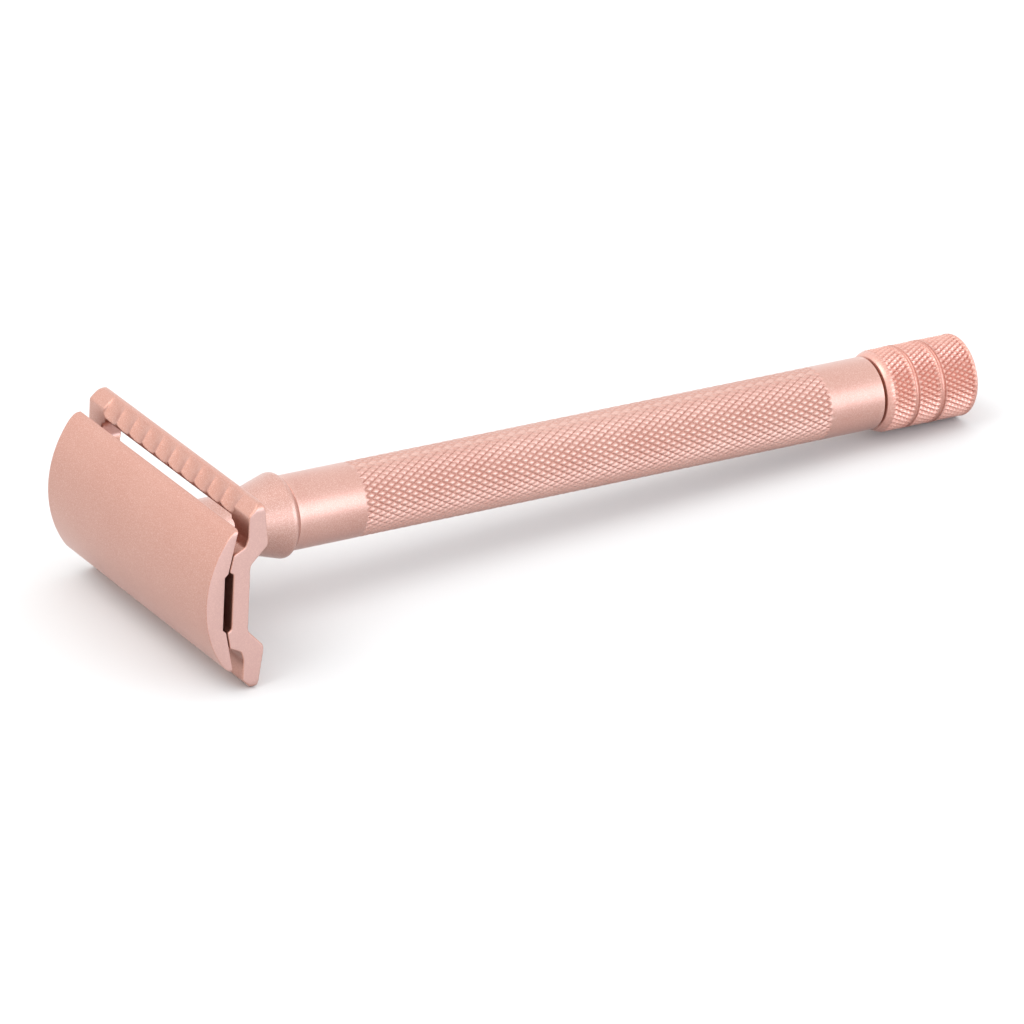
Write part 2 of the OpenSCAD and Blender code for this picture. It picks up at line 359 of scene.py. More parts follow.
@dataclass(frozen=True)
class Knurl:
    """Diamond knurling rolled into a turned surface.

    Attributes:
        starts: Number of diamonds round the part.
        pitch: Length of a diamond along the handle, in mm.
        depth: Depth of the grooves, in mm.
        flat: Share of each diamond that its level top takes up.
        fineness: Columns and rows of the mesh in half a diamond.
        fade: Length over which the grooves run out at a band's ends, in mm.
    """

    starts: int
    pitch: float
    depth: float
    flat: float
    fineness: int
    fade: float

    @property
    def columns(self) -> int:
        """Columns round the part."""
        return self.starts * 2 * self.fineness

    def cut_rows(self, grid: TurnedGrid, radius_at: Callable[[float], float],
                 start: float, end: float) -> None:
        """Adds knurled rows between two distances down the handle.

        Args:
            grid: The surface that gets the rows.
            radius_at: The crests' radius at a distance.
            start: Distance of the first row from the drawing's origin.
            end: Distance of the last row.
        """
        per = 2 * self.fineness
        step = self.pitch / per
        inner = np.arange(math.floor(start / step) + 1, math.ceil(end / step))
        rows = [start / step, *inner.tolist(), end / step]
        around = np.arange(self.columns)
        for i, after in zip(rows, [*rows[1:], rows[-1]]):
            down = i * step
            rise = self._rise(i, around, per)
            edge = min(1.0, max(0.0, min(down - start, end - down) / self.fade))
            middle = (i + after) / 2
            u, v = (middle + around + 0.5) / per, (middle - around - 0.5) / per
            falls = np.abs(u - np.round(u)) >= np.abs(v - np.round(v))
            splits = np.where(falls, Split.FALLING.value, Split.RISING.value)
            grid.row(radius_at(down) - self.depth * edge * (1 - rise), -down, splits)

    def _rise(self, i: float, around: np.ndarray, per: int) -> np.ndarray:
        """Share of the full height, from 0 in a groove to 1 on a crest."""
        u, v = (i + around) / per, (i - around) / per
        near = np.minimum(np.abs(u - np.round(u)), np.abs(v - np.round(v)))
        return np.minimum(1.0, near / (0.5 * (1 - self.flat)))


# ---------------------------------------------------------------------------------------
# Shader nodes
# ---------------------------------------------------------------------------------------


@dataclass(frozen=True)
class Wire:
    """A node's output that takes part in arithmetic."""

    graph: Graph
    socket: bpy.types.NodeSocket

    def _math(self, operation: str, first: Any, second: Any) -> Wire:
        """Adds a Math node."""
        return self.graph.node("ShaderNodeMath", {"operation": operation}, {0: first, 1: second})

    def __add__(self, other: Any) -> Wire:
        """Sum."""
        return self._math("ADD", self, other)

    __radd__ = __add__

    def __sub__(self, other: Any) -> Wire:
        """Difference."""
        return self._math("SUBTRACT", self, other)

    def __rsub__(self, other: Any) -> Wire:
        """Difference from a number."""
        return self._math("SUBTRACT", other, self)

    def __mul__(self, other: Any) -> Wire:
        """Product."""
        return self._math("MULTIPLY", self, other)

    __rmul__ = __mul__

    def ramp(self, low: float, high: float, start: float = 0.0, end: float = 1.0) -> Wire:
        """Smooth step from one value to another.

        Args:
            low: Where the step begins.
            high: Where the step is complete.
            start: Value before the step.
            end: Value after the step.

        Returns:
            The stepped value.
        """
        return self.graph.node("ShaderNodeMapRange", {"interpolation_type": "SMOOTHSTEP"},
                               {"Value": self, "From Min": low, "From Max": high,
                                "To Min": start, "To Max": end})


class Graph:
    """A material's node tree."""

    def __init__(self, name: str) -> None:
        """Starts an empty material.

        Args:
            name: The material's name.
        """
        self.material = bpy.data.materials.new(name)
        self.material.use_nodes = True
        self.tree = self.material.node_tree
        self.tree.nodes.clear()

    def node(self, kind: str, settings: Mapping[str, Any] | None = None,
             inputs: Mapping[int | str, Any] | None = None, output: int | str = 0) -> Wire:
        """Adds a node.

        Args:
            kind: The node's type.
            settings: Its settings, set before its sockets.
            inputs: A value or a Wire for each named or numbered socket.
            output: The output that is returned.

        Returns:
            The chosen output.
        """
        made = self.tree.nodes.new(kind)
        for key, value in (settings or {}).items():
            setattr(made, key, value)
        for key, value in (inputs or {}).items():
            if isinstance(value, Wire):
                self.tree.links.new(value.socket, made.inputs[key])
            else:
                made.inputs[key].default_value = value
        return Wire(self, made.outputs[output])

    def blend(self, factor: Any, first: Any, second: Any) -> Wire:
        """Mixes two colours.

        Args:
            factor: Share of the second colour.
            first: The first colour, a Wire or three numbers.
            second: The second colour.

        Returns:
            The mixed colour.
        """
        shades = [c if isinstance(c, Wire) else (*c, 1.0) for c in (first, second)]
        return self.node("ShaderNodeMix", {"data_type": "RGBA"},
                         {0: factor, 6: shades[0], 7: shades[1]}, output=2)

    def vector(self, operation: str, first: Any, second: Any, output: int | str = 0) -> Wire:
        """Adds a Vector Math node.

        Args:
            operation: The node's operation.
            first: The first vector.
            second: The second vector.
            output: The output that is returned.

        Returns:
            The chosen output.
        """
        return self.node("ShaderNodeVectorMath", {"operation": operation},
                         {0: first, 1: second}, output)

    def place(self) -> Wire:
        """The surface's place in the frame, in metres."""
        return self.node("ShaderNodeTexCoord", output="Object")

    def noise(self, where: Wire, size: float, detail: float = 2.0, rough: float = 0.5) -> Wire:
        """Fine random variation from 0 to 1.

        Args:
            where: The place.
            size: Size of the largest speckles, in mm.
            detail: Octaves of finer speckles.
            rough: Strength of the finer speckles.

        Returns:
            The variation.
        """
        return self.node("ShaderNodeTexNoise", {"noise_dimensions": "3D"},
                         {"Vector": where, "Scale": 1.0 / (size * MM), "Detail": detail,
                          "Roughness": rough})

    def stripes(self, along: Wire, size: float, detail: float) -> Wire:
        """Fine random variation along one direction, from 0 to 1.

        Args:
            along: Distance in that direction, in metres.
            size: Width of the widest stripes, in mm.
            detail: Octaves of finer stripes.

        Returns:
            The variation.
        """
        return self.node("ShaderNodeTexNoise", {"noise_dimensions": "1D"},
                         {"W": along, "Scale": 1.0 / (size * MM), "Detail": detail})

    def bumps(self, height: Wire, depth: float, normal: Wire | None = None) -> Wire:
        """Relief that is too fine to model.

        Args:
            height: Relief from 0 to 1.
            depth: Its depth, in mm.
            normal: Relief that this one lies on.

        Returns:
            The shading normal.
        """
        ends: dict[int | str, Any] = {"Height": height, "Distance": depth * MM, "Strength": 1.0}
        if normal is not None:
            ends["Normal"] = normal
        return self.node("ShaderNodeBump", {}, ends)

    def finish(self, **sockets: Any) -> bpy.types.Material:
        """Ends the tree in a Principled shader.

        Args:
            **sockets: Values or Wires, by socket name with _ for each space.

        Returns:
            The material.
        """
        ends: dict[int | str, Any] = {}
        for key, value in sockets.items():
            name = " ".join(word if word == "IOR" else word.capitalize() for word in key.split("_"))
            ends[name] = (*value, 1.0) if isinstance(value, tuple) and len(value) == 3 else value
        shader = self.node("ShaderNodeBsdfPrincipled", {}, ends)
        last = self.tree.nodes.new("ShaderNodeOutputMaterial")
        self.tree.links.new(shader.socket, last.inputs["Surface"])
        return self.material


@dataclass(frozen=True)
class RosePlate:
    """Satin rose-gold plating over a blasted or brushed surface.

    Attributes:
        name: The material's name.
        colour: The plating's own colour.
        deep: Colour of its deeper clouds and of the painted shade in grooves.
        bright: Colour of its bright speckles and of the painted highlight on crests.
        roughness: Mean roughness.
        grain_depth: Depth of the blasted grain, in mm.
        grain: Size of the grain, in mm.
        cloud: Size of the clouds, in mm.
        painted_relief_light: Strength of the painted highlight on crests and the painted shade in
            grooves, which also makes crests a little smoother. 0 leaves it out.
        turned: Depth of the turning marks, in mm. 0 leaves them out.
        mark_size: Spacing of the turning marks, in mm.
        lacquer: Weight of the clear coat.
        lacquer_roughness: Roughness of the clear coat.
        ends: Painted light: a paler colour laid on the faces that look along the cap, standing in for
            the side light that falls on the end faces. None leaves it out.
    """

    name: str
    colour: Colour
    deep: Colour
    bright: Colour
    roughness: float
    grain_depth: float
    grain: float = 0.13
    cloud: float = 9.0
    painted_relief_light: float = 0.0
    turned: float = 0.0
    mark_size: float = 0.12
    lacquer: float = 0.7
    lacquer_roughness: float = 0.35
    ends: Colour | None = None

    def material(self, axis: Vector) -> bpy.types.Material:
        """Makes the plating.

        Args:
            axis: The handle's direction, along which turning marks repeat.

        Returns:
            The material.
        """
        graph = Graph(self.name)
        where = graph.place()
        speckle = graph.noise(where, self.grain, 2.0, 0.6)
        cloud = graph.noise(where, self.cloud)
        tone = graph.blend(cloud.ramp(0.35, 0.7) * 0.25, self.colour, self.deep)
        # Painted light: faces that look along the cap are blended towards the paler ends colour, as if
        # the side lamp fell on them.
        if self.ends is not None:
            facing = graph.node("ShaderNodeTexCoord", output="Normal")
            side = graph.vector("DOT_PRODUCT", facing, (1.0, 0.0, 0.0), "Value")
            tone = graph.blend((side * side).ramp(0.75, 0.95), tone, self.ends)
        tone = graph.blend(speckle.ramp(0.42, 0.7) * 0.6, tone, self.bright)
        rough = self.roughness + (speckle - 0.5) * 0.2 + (cloud - 0.5) * 0.04
        # Painted light: crests, found by the mesh's pointiness, are blended towards the bright colour as
        # a painted highlight, and grooves towards the deep colour as painted shade; crests also get a
        # little smoother.
        if self.painted_relief_light > 0:
            shape = graph.node("ShaderNodeNewGeometry", output="Pointiness")
            crest = shape.ramp(0.51, 0.6) * self.painted_relief_light
            groove = shape.ramp(0.42, 0.49, 1.0, 0.0) * self.painted_relief_light
            tone = graph.blend(crest, tone, self.bright)
            tone = graph.blend(groove, tone, self.deep)
            rough = rough - crest * 0.08
        relief = graph.bumps(speckle, self.grain_depth)
        if self.turned > 0:
            along = graph.vector("DOT_PRODUCT", where, tuple(axis), "Value")
            marks = graph.stripes(along, self.mark_size, 2.0)
            relief = graph.bumps(marks, self.turned, relief)
        return graph.finish(base_color=tone, metallic=1.0, roughness=rough, normal=relief,
                            coat_weight=self.lacquer, coat_roughness=self.lacquer_roughness)


@dataclass(frozen=True)
class TurnedMetal:
    """Bare turned metal, such as steel or bronze.

    Attributes:
        name: The material's name.
        colour: Colour of clean metal.
        dull: Colour of its stains.
        roughness: Mean roughness.
        ring_size: Spacing of the turning marks, in mm.
        ring_depth: Depth of the turning marks, in mm.
        stain_size: Size of the stains, in mm.
    """

    name: str
    colour: Colour
    dull: Colour
    roughness: float
    ring_size: float
    ring_depth: float
    stain_size: float = 2.5

    def material(self, axis: Vector) -> bpy.types.Material:
        """Makes the metal.

        Args:
            axis: The direction along which turning marks repeat.

        Returns:
            The material.
        """
        graph = Graph(self.name)
        where = graph.place()
        along = graph.vector("DOT_PRODUCT", where, tuple(axis), "Value")
        rings = graph.stripes(along, self.ring_size, 3.0)
        stain = graph.noise(where, self.stain_size, 3.0, 0.6)
        tone = graph.blend(stain.ramp(0.4, 0.75), self.colour, self.dull)
        rough = self.roughness + (rings - 0.5) * 0.2 + (stain - 0.5) * 0.1
        relief = graph.bumps(rings, self.ring_depth)
        return graph.finish(base_color=tone, metallic=1.0, roughness=rough, normal=relief)


@dataclass(frozen=True)
class Moulded:
    """Moulded nylon or rubber.

    Attributes:
        name: The material's name.
        colour: The material's own colour.
        shade: Colour of its darker clouds.
        roughness: Mean roughness.
        grain: Size of the skin's grain, in mm.
        grain_depth: Depth of the skin's grain, in mm.
        cloud: Size of the clouds, in mm.
    """

    name: str
    colour: Colour
    shade: Colour
    roughness: float
    grain: float
    grain_depth: float
    cloud: float = 3.0

    def material(self, axis: Vector) -> bpy.types.Material:
        """Makes the plastic.

        Args:
            axis: Not used by a moulded piece.

        Returns:
            The material.
        """
        graph = Graph(self.name)
        where = graph.place()
        skin = graph.noise(where, self.grain, 3.0, 0.6)
        cloud = graph.noise(where, self.cloud)
        tone = graph.blend(cloud.ramp(0.35, 0.7), self.colour, self.shade)
        rough = self.roughness + (skin - 0.5) * 0.15
        relief = graph.bumps(skin, self.grain_depth)
        return graph.finish(base_color=tone, roughness=rough, normal=relief)


Finish = RosePlate | TurnedMetal | Moulded

# The head's ends colour is painted light: a paler tint on the end faces for the side light that falls on
# them.
HEAD_PLATE = RosePlate(
    "rose_head", colour=(0.505, 0.25, 0.19), deep=(0.46, 0.20, 0.145), bright=(0.67, 0.43, 0.37),
    roughness=0.44, grain_depth=0.014, ends=(0.56, 0.34, 0.305))
NECK_PLATE = RosePlate(
    "rose_neck", colour=(0.50, 0.275, 0.228), deep=(0.45, 0.21, 0.16), bright=(0.72, 0.51, 0.45),
    roughness=0.42, grain_depth=0.014)
HANDLE_PLATE = RosePlate(
    "rose_handle", colour=(0.52, 0.285, 0.235), deep=(0.42, 0.16, 0.12), bright=(0.70, 0.47, 0.41),
    roughness=0.42, grain_depth=0.012, painted_relief_light=0.45, turned=0.002)
# The knob's plating is a deeper, more saturated coral than the handle's: painted shade for the light
# that falls off towards the knob's end. The plug takes the same colour.
KNOB_PLATE = RosePlate(
    "rose_knob", colour=(0.56, 0.26, 0.205), deep=(0.40, 0.12, 0.09), bright=(0.82, 0.53, 0.46),
    roughness=0.44, grain_depth=0.012, painted_relief_light=0.6, turned=0.002)
PLUG_PLATE = replace(KNOB_PLATE, name="rose_plug", painted_relief_light=0.0)
STEEL = TurnedMetal(
    "turned_steel", colour=(0.56, 0.56, 0.57), dull=(0.42, 0.42, 0.43),
    roughness=0.3, ring_size=0.12, ring_depth=0.002)
BRONZE = TurnedMetal(
    "sintered_bronze", colour=(0.55, 0.36, 0.15), dull=(0.38, 0.24, 0.1),
    roughness=0.48, ring_size=0.2, ring_depth=0.004)
NYLON = Moulded(
    "natural_nylon", colour=(0.78, 0.75, 0.66), shade=(0.7, 0.66, 0.56),
    roughness=0.45, grain=0.3, grain_depth=0.01)
NITRILE = Moulded(
    "black_nitrile", colour=(0.012, 0.012, 0.013), shade=(0.02, 0.02, 0.021),
    roughness=0.55, grain=0.15, grain_depth=0.01)


@dataclass
class Workshop:
    """Makes each finish once and hands pieces over to the frame."""

    frame: Mapping[str, Any]
    lay: Lay
    made: dict[str, bpy.types.Material] = field(default_factory=dict)

    def coat(self, piece: bpy.types.Object, finish: Finish) -> None:
        """Gives a piece its finish.

        Args:
            piece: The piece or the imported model's node.
            finish: Its finish.
        """
        if finish.name not in self.made:
            self.made[finish.name] = finish.material(self.lay.head)
        piece.data.materials.clear()
        piece.data.materials.append(self.made[finish.name])

    def hand_over(self, piece: bpy.types.Object, finish: Finish, body: Body, nodes: Sequence[str],
                  sharp_angle: float) -> None:
        """Lays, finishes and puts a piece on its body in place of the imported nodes.

        Args:
            piece: The piece, upright and in millimetres.
            finish: Its finish.
            body: The body that it rides on.
            nodes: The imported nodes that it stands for.
            sharp_angle: Edges sharper than this stay crisp, in degrees.
        """
        settle(piece, self.lay, sharp_angle)
        self.coat(piece, finish)
        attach(piece, body.value)
        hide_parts(*nodes)
        LOG.info("%s: %d faces on %s", piece.name, len(piece.data.polygons), body.value)


# ---------------------------------------------------------------------------------------
# Head
# ---------------------------------------------------------------------------------------


@dataclass
class BladeSeat:
    """The sloping seat that the cap presses the blade onto."""

    edge_y: float = 10.1
    tip_h: float = 0.32
    slope: float = 12.0

    def height(self, y: float) -> float:
        """Height of the cap's underside at a distance from the middle."""
        return self.tip_h + (self.edge_y - y) * math.tan(math.radians(self.slope))


@dataclass
class CapHead:
    """The cap with its two lugs and its threaded stud."""

    seat: BladeSeat
    length: float = 42.0
    crown_h: float = 4.7
    crown_r: float = 15.5
    edge_r: float = 3.6
    edge_turn: float = 34.6
    edge_rise: float = 1.32
    recess: Point = (7.5, 8.4)
    recess_h: float = 2.07
    corner_r: float = 0.7
    blunt: float = 0.03
    bevel: float = 0.16
    # The mesh: how its points are shared out across the cap, and its bays along the cap.
    held_y: float = 6.0
    floor_points: int = 6
    seat_points: int = 4
    edge_points: int = 18
    bays: int = 6
    # The posts and the stud.
    lug_x: float = 11.6
    lug_r: float = 1.8
    lug_end: float = -1.4
    lug_nose: Point = (0.38, 0.42)
    lug_flare: Point = (0.22, 0.2)
    stud_r: float = 2.45
    stud_root: float = 1.93
    stud_pitch: float = 0.8
    stud_end: float = -11.1
    stud_depth: float = 0.3
    stud_nose: float = 0.55
    stud_runout: float = 1.0
    turn_rows: int = 12

    def _top(self, y: float) -> float:
        """Height of the crown at a distance from the middle."""
        turn = math.radians(self.edge_turn)
        base = self.crown_h - self.crown_r
        if y <= self.crown_r * math.sin(turn):
            return base + math.sqrt(self.crown_r ** 2 - y ** 2)
        side_y = self.seat.edge_y - math.sqrt(self.edge_r ** 2 - self.edge_rise ** 2)
        side_h = base + (self.crown_r - self.edge_r) * math.cos(turn)
        return side_h + math.sqrt(max(0.0, self.edge_r ** 2 - (y - side_y) ** 2))

    def _underside(self) -> list[Point]:
        """The blade seat and the recess, from the middle out to the edge."""
        narrow, wide = self.recess[0] / 2, self.recess[1] / 2
        return rounded([(0.0, self.recess_h, 0.0), (narrow, self.recess_h, 0.15),
                        (wide, self.seat.height(wide), 0.12),
                        (self.seat.edge_y, self.seat.tip_h, 0.0)])

    def _reach(self, x: float) -> float:
        """Half the cap's width at a place along it."""
        past = max(0.0, abs(x) - (self.length / 2 - self.corner_r))
        shrink = self.corner_r - math.sqrt(max(0.0, self.corner_r ** 2 - past ** 2))
        return self.seat.edge_y - max(self.blunt, shrink)

    def _section(self, x: float, inset: float) -> list[Sequence[float]]:
        """The crown's points and then the underside's, from one edge to the other.

        Points nearer the middle than held_y keep their place in every section, and the others
        crowd towards the edge.

        Args:
            x: The place along the cap.
            inset: How far the section is drawn in for the end's bevel.

        Returns:
            The points.
        """
        under = self._underside()
        held, clear = self.held_y, 0.4
        floor_end, seat_start = self.recess[0] / 2 - 0.3, self.recess[1] / 2 + clear
        spread = [*np.linspace(clear, floor_end, self.floor_points),
                  *np.linspace(seat_start, held, self.seat_points)]
        kinks = [y for y, _ in under if y < held]
        inner = sorted({round(float(y), 5) for y in [*kinks, *spread]})
        swing = np.sin(np.linspace(0, math.pi / 2, self.edge_points))[1:]
        outer = held + (self._reach(x) - held) * swing
        half = [*inner, *outer.tolist()]
        ys = [-y for y in reversed(half[1:])] + half
        scale = 1 - inset / half[-1]
        floor_y, floor_h = [p[0] for p in under], [p[1] for p in under]
        crown = [(x, y * scale, self._top(abs(y)) - inset) for y in ys]
        seat = [(x, y * scale, float(np.interp(abs(y), floor_y, floor_h)) + inset) for y in ys]
        return crown + [(a, b, min(c, crown[k][2])) for k, (a, b, c) in enumerate(seat)]

    def build_cap(self) -> bpy.types.Object:
        """Lofts the cap along its length, with a ladder of faces at each end."""
        end, too_near = self.length / 2, 0.03
        bevels = [(end - self.bevel * (1 - math.sin(a)), self.bevel * (1 - math.cos(a)) / 2)
                  for a in (math.pi / 2, math.pi / 3, math.pi / 6, 0.0)]
        turns = [(end - self.corner_r * (1 - math.sin(math.radians(a))), 0.0)
                 for a in (45, 30, 15, 0)]
        right = bevels + [(x, inset) for x, inset in turns if x < bevels[-1][0] - too_near]
        right += [(end * k / self.bays, 0.0) for k in range(self.bays - 1, -1, -1)]
        stations = right + [(-x, inset) for x, inset in reversed(right[:-1])]
        rings = [self._section(x, inset) for x, inset in stations]
        count = len(rings[0])
        half = count // 2
        verts = [p for ring in rings for p in ring]
        faces: list[Sequence[int]] = []
        for i in range(len(rings) - 1):
            a, b = i * count, (i + 1) * count
            faces += [(a + k, b + k, b + k + 1, a + k + 1) for k in range(count - 1) if k != half - 1]
            faces += [(a + k, b + k, b + half + k, a + half + k) for k in (0, half - 1)]
        for base in (0, (len(rings) - 1) * count):
            faces += [(base + k, base + k + 1, base + half + k + 1, base + half + k)
                      for k in range(half - 1)]
        return mesh_object("razor_cap", verts, faces)

    def build_lug(self, side: int) -> bpy.types.Object:
        """Turns one of the two posts.

        Args:
            side: -1 for the left post and 1 for the right post.

        Returns:
            The post, upright and in millimetres.
        """
        grid = TurnedGrid(48)
        nose_w, nose_h = self.lug_nose
        flare_w, flare_h = self.lug_flare
        grid.line(rounded([
            (self.lug_r - nose_w - 0.12, self.lug_end, 0.0), (self.lug_r - nose_w, self.lug_end, 0.1),
            (self.lug_r, self.lug_end + nose_h, 0.15),
            (self.lug_r, self.recess_h - flare_h - 0.05, 0.0),
            (self.lug_r + 0.01, self.recess_h - flare_h, 0.0),
            (self.lug_r + flare_w, self.recess_h + 0.04, 0.0)]))
        post = grid.build("cap_post_" + ("left" if side < 0 else "right"), loop=False)
        post.data.transform(Matrix.Translation((side * self.lug_x, 0.0, 0.0)))
        return post

    def build_stud(self) -> bpy.types.Object:
        """Cuts the stud's right-hand thread, which runs out under the cap."""
        grid = TurnedGrid(72)
        around = np.arange(grid.columns) / grid.columns
        low, high = self.stud_end, self.recess_h + self.stud_depth
        turns = (high - low) / self.stud_pitch
        slant, root_flat = 1.35, 0.12
        for along in np.arange(0, int(turns * self.turn_rows) + 1) / self.turn_rows:
            height = low + along * self.stud_pitch
            phase = (along - around) % 1.0
            ridge = np.clip((1 - np.abs(2 * phase - 1)) * slant - root_flat, 0.0, 1.0)
            fade = min(1.0, max(0.0, (high - height) / self.stud_runout))
            radius = self.stud_root + (self.stud_r - self.stud_root) * ridge * fade
            chamfer = self.stud_r - self.stud_nose + (height - low)
            grid.row(np.minimum(radius, chamfer), height)
        return grid.build("cap_screw_stud", loop=False)

    def dress(self, shop: Workshop) -> None:
        """Builds and hands over the cap's pieces.

        Args:
            shop: The workshop.
        """
        shop.hand_over(self.build_cap(), HEAD_PLATE, Body.CAP, ["cap"], 30)
        for side, node in ((-1, "cap_lug_left"), (1, "cap_lug_right")):
            shop.hand_over(self.build_lug(side), HEAD_PLATE, Body.CAP, [node], 40)
        shop.hand_over(self.build_stud(), STEEL, Body.CAP, ["cap_stud"], 40)


@dataclass
class GuardPlate:
    """The cast base plate with its blade seat, two slots and two scalloped safety bars."""

    seat: BladeSeat
    length: float = 42.0
    width: float = 26.1
    top: float = 0.82
    bottom: float = -1.68
    seat_w: float = 7.8
    ridge: Point = (4.25, 6.6)
    blade_gap: float = 0.15
    bowl: Point = (7.4, -0.75)
    bar_in: float = 8.5
    bar_top: float = -1.15
    bar_fall: float = 1.5
    bar_foot: float = -3.48
    wing: Point = (7.13, -4.23)
    foot_y: float = 4.58
    corner_r: float = 1.0
    slot_end: float = 3.6
    slot_in: float = 6.65
    slot_w: float = 2.95
    slot_r: float = 0.9
    slot_edge_r: float = 1.1
    # The scallops: their lie on the bar, and the rows and columns of the tool that cuts them.
    flute_in: float = 10.9
    flute_pitch: float = 3.4
    flute_count: int = 10
    flute_depth: float = 0.5
    flute_tilt: float = 30.0
    flute_lead: float = 2.5
    flute_knee: float = 1.25
    knee_share: float = 0.8
    flute_columns: int = 12
    flute_rows: int = 25
    # The holes, and how far the tools reach past the plate.
    hole_x: float = 11.6
    hole_r: float = 1.95
    spigot_r: float = 3.4
    cut_reach: float = 10.0
    hole_reach: float = 4.0
    hole_points: int = 60
    # The softening: size of the cubes, passes of smoothing, and share of the faces that is kept.
    voxel: float = 0.12
    soften: int = 3
    soften_ends: int = 14
    end_zone: float = 1.6
    kept_faces: float = 0.35

    def outline(self) -> list[Point]:
        """The closed outline across the head."""
        out_y = self.width / 2
        half = rounded([
            (0.0, self.top, 0.0), (self.seat_w / 2, self.top, 0.15),
            (self.ridge[0], self.seat.height(self.ridge[0]) - self.blade_gap, 0.08),
            (self.ridge[1], self.seat.height(self.ridge[1]) - self.blade_gap, 0.1),
            (*self.bowl, 0.4), (self.bar_in, self.bar_top, 0.4),
            (out_y - self.bar_fall, self.bar_top, 0.4),
            (out_y, self.bar_top - self.bar_fall, 0.4), (out_y, self.bar_foot, 0.4),
            (*self.wing, 1.2), (self.foot_y, self.bottom, 1.0), (0.0, self.bottom, 0.0)])
        return half + [(-y, h) for y, h in reversed(half) if y > 0.001]

    def _plan(self, size: Point, radius: float) -> list[Point]:
        """A rectangle with round corners."""
        a, b = size[0] / 2 - radius, size[1] / 2 - radius
        spots = ((a, b), (-a, b), (-a, -b), (a, -b))
        return [p for k, spot in enumerate(spots) for p in arc(spot, radius, 90 * k, 90 * (k + 1), 10)]

    def _flute_tool(self, side: int) -> bpy.types.Object:
        """The cutter that scallops one bar, with flutes that fade out towards the bar's edge.

        Args:
            side: -1 or 1, for the bar.

        Returns:
            The cutting tool.
        """
        tilt, skin, tall = math.radians(self.flute_tilt), 0.02, 3.0
        down = Vector((math.cos(tilt), -math.sin(tilt)))
        lean = Vector((math.sin(tilt), math.cos(tilt)))
        start = Vector((self.flute_in, self.bar_top))
        outer_edge = Vector((self.width / 2 - skin, self.bar_top - self.bar_fall - skin))
        path = [start - down * self.flute_lead, start, start + down * self.flute_knee, outer_edge]
        depths = [self.flute_depth, self.flute_depth, self.flute_depth * self.knee_share, 0.0]
        knots = [0.0, 0.45, 0.72, 1.0]  # where the path's points fall among the tool's rows
        marks = np.linspace(0, 1, self.flute_rows)
        ys = np.interp(marks, knots, [p.x for p in path])
        hs = np.interp(marks, knots, [p.y for p in path])
        sinks = np.interp(marks, knots, depths)
        half = self.flute_count * self.flute_pitch / 2
        xs = np.linspace(-half, half, self.flute_count * self.flute_columns + 1)
        share = 1 - (2 * ((xs + half) / self.flute_pitch % 1.0) - 1) ** 2
        verts, count, rows = [], len(xs), len(marks)
        for rise in (0.0, tall):
            for y, h, sink in zip(ys, hs, sinks):
                drops = rise - sink * share * (rise == 0.0)
                verts += [(x, side * (y + lean.x * d), h + lean.y * d) for x, d in zip(xs, drops)]
        top = rows * count
        faces: list[Sequence[int]] = []
        for i in range(rows - 1):
            for k in range(count - 1):
                a = i * count + k
                faces += [(a, a + 1, a + count + 1, a + count),
                          (top + a, top + a + 1, top + a + count + 1, top + a + count)]
            faces += [(a, a + count, top + a + count, top + a)
                      for a in (i * count, (i + 1) * count - 1)]
        for k in range(count - 1):
            faces += [(a, a + 1, top + a + 1, top + a) for a in (k, (rows - 1) * count + k)]
        return mesh_object("scallop_tool", verts, faces)

    def _edge_tool(self, side: int) -> bpy.types.Object:
        """The cutter that rounds one bar's top edge over its slot.

        Args:
            side: -1 or 1, for the bar.

        Returns:
            The cutting tool.
        """
        edge, past = self.slot_in + self.slot_w, 0.3
        centre = (edge + self.slot_edge_r, self.bar_top - self.slot_edge_r)
        outline = [(edge - past, self.bar_top + past), (edge - past, centre[1]),
                   *arc(centre, self.slot_edge_r, 180, 90, 12), (centre[0], self.bar_top + past)]
        reach = self.length / 2 - self.slot_end - self.slot_r
        return prism("edge_tool", outline, lambda y, h, x: (x, side * y, h), -reach, reach)

    def build(self) -> bpy.types.Object:
        """Casts the plate, bores its holes and softens its edges, at its ends the most."""
        half, reach = self.length / 2, self.cut_reach
        plate = prism("razor_guard_plate", self.outline(), lambda y, h, x: (x, y, h), -half, half)
        plan = self._plan((self.length, self.width), self.corner_r)
        cut(plate, prism("plan_tool", plan, lambda x, y, h: (x, y, h), -reach, reach), keep_common=True)
        for side in (-1, 1):
            cut(plate, self._edge_tool(side))
            cut(plate, self._flute_tool(side))
            middle = side * (self.slot_in + self.slot_w / 2)
            slot = [(x, y + middle) for x, y in
                    self._plan((self.length - 2 * self.slot_end, self.slot_w), self.slot_r)]
            cut(plate, prism("slot_tool", slot, lambda x, y, h: (x, y, h), -reach, reach))
        chord = 360 / self.hole_points
        for x, radius in ((0.0, self.spigot_r), (-self.hole_x, self.hole_r), (self.hole_x, self.hole_r)):
            hole = arc((x, 0.0), radius, 0, 360 - chord, self.hole_points - 1)
            cut(plate, prism("hole_tool", hole, lambda a, b, h: (a, b, h),
                             -self.hole_reach, self.hole_reach))
        modified(plate, "REMESH", mode="VOXEL", voxel_size=self.voxel, adaptivity=0.0)
        modified(plate, "SMOOTH", factor=0.5, iterations=self.soften)
        ends = plate.vertex_groups.new(name="ends")
        far = half - self.end_zone
        ends.add([v.index for v in plate.data.vertices if abs(v.co.x) > far], 1.0, "REPLACE")
        modified(plate, "SMOOTH", factor=0.5, iterations=self.soften_ends, vertex_group="ends")
        plate.vertex_groups.clear()
        modified(plate, "DECIMATE", decimate_type="COLLAPSE", ratio=self.kept_faces)
        return plate

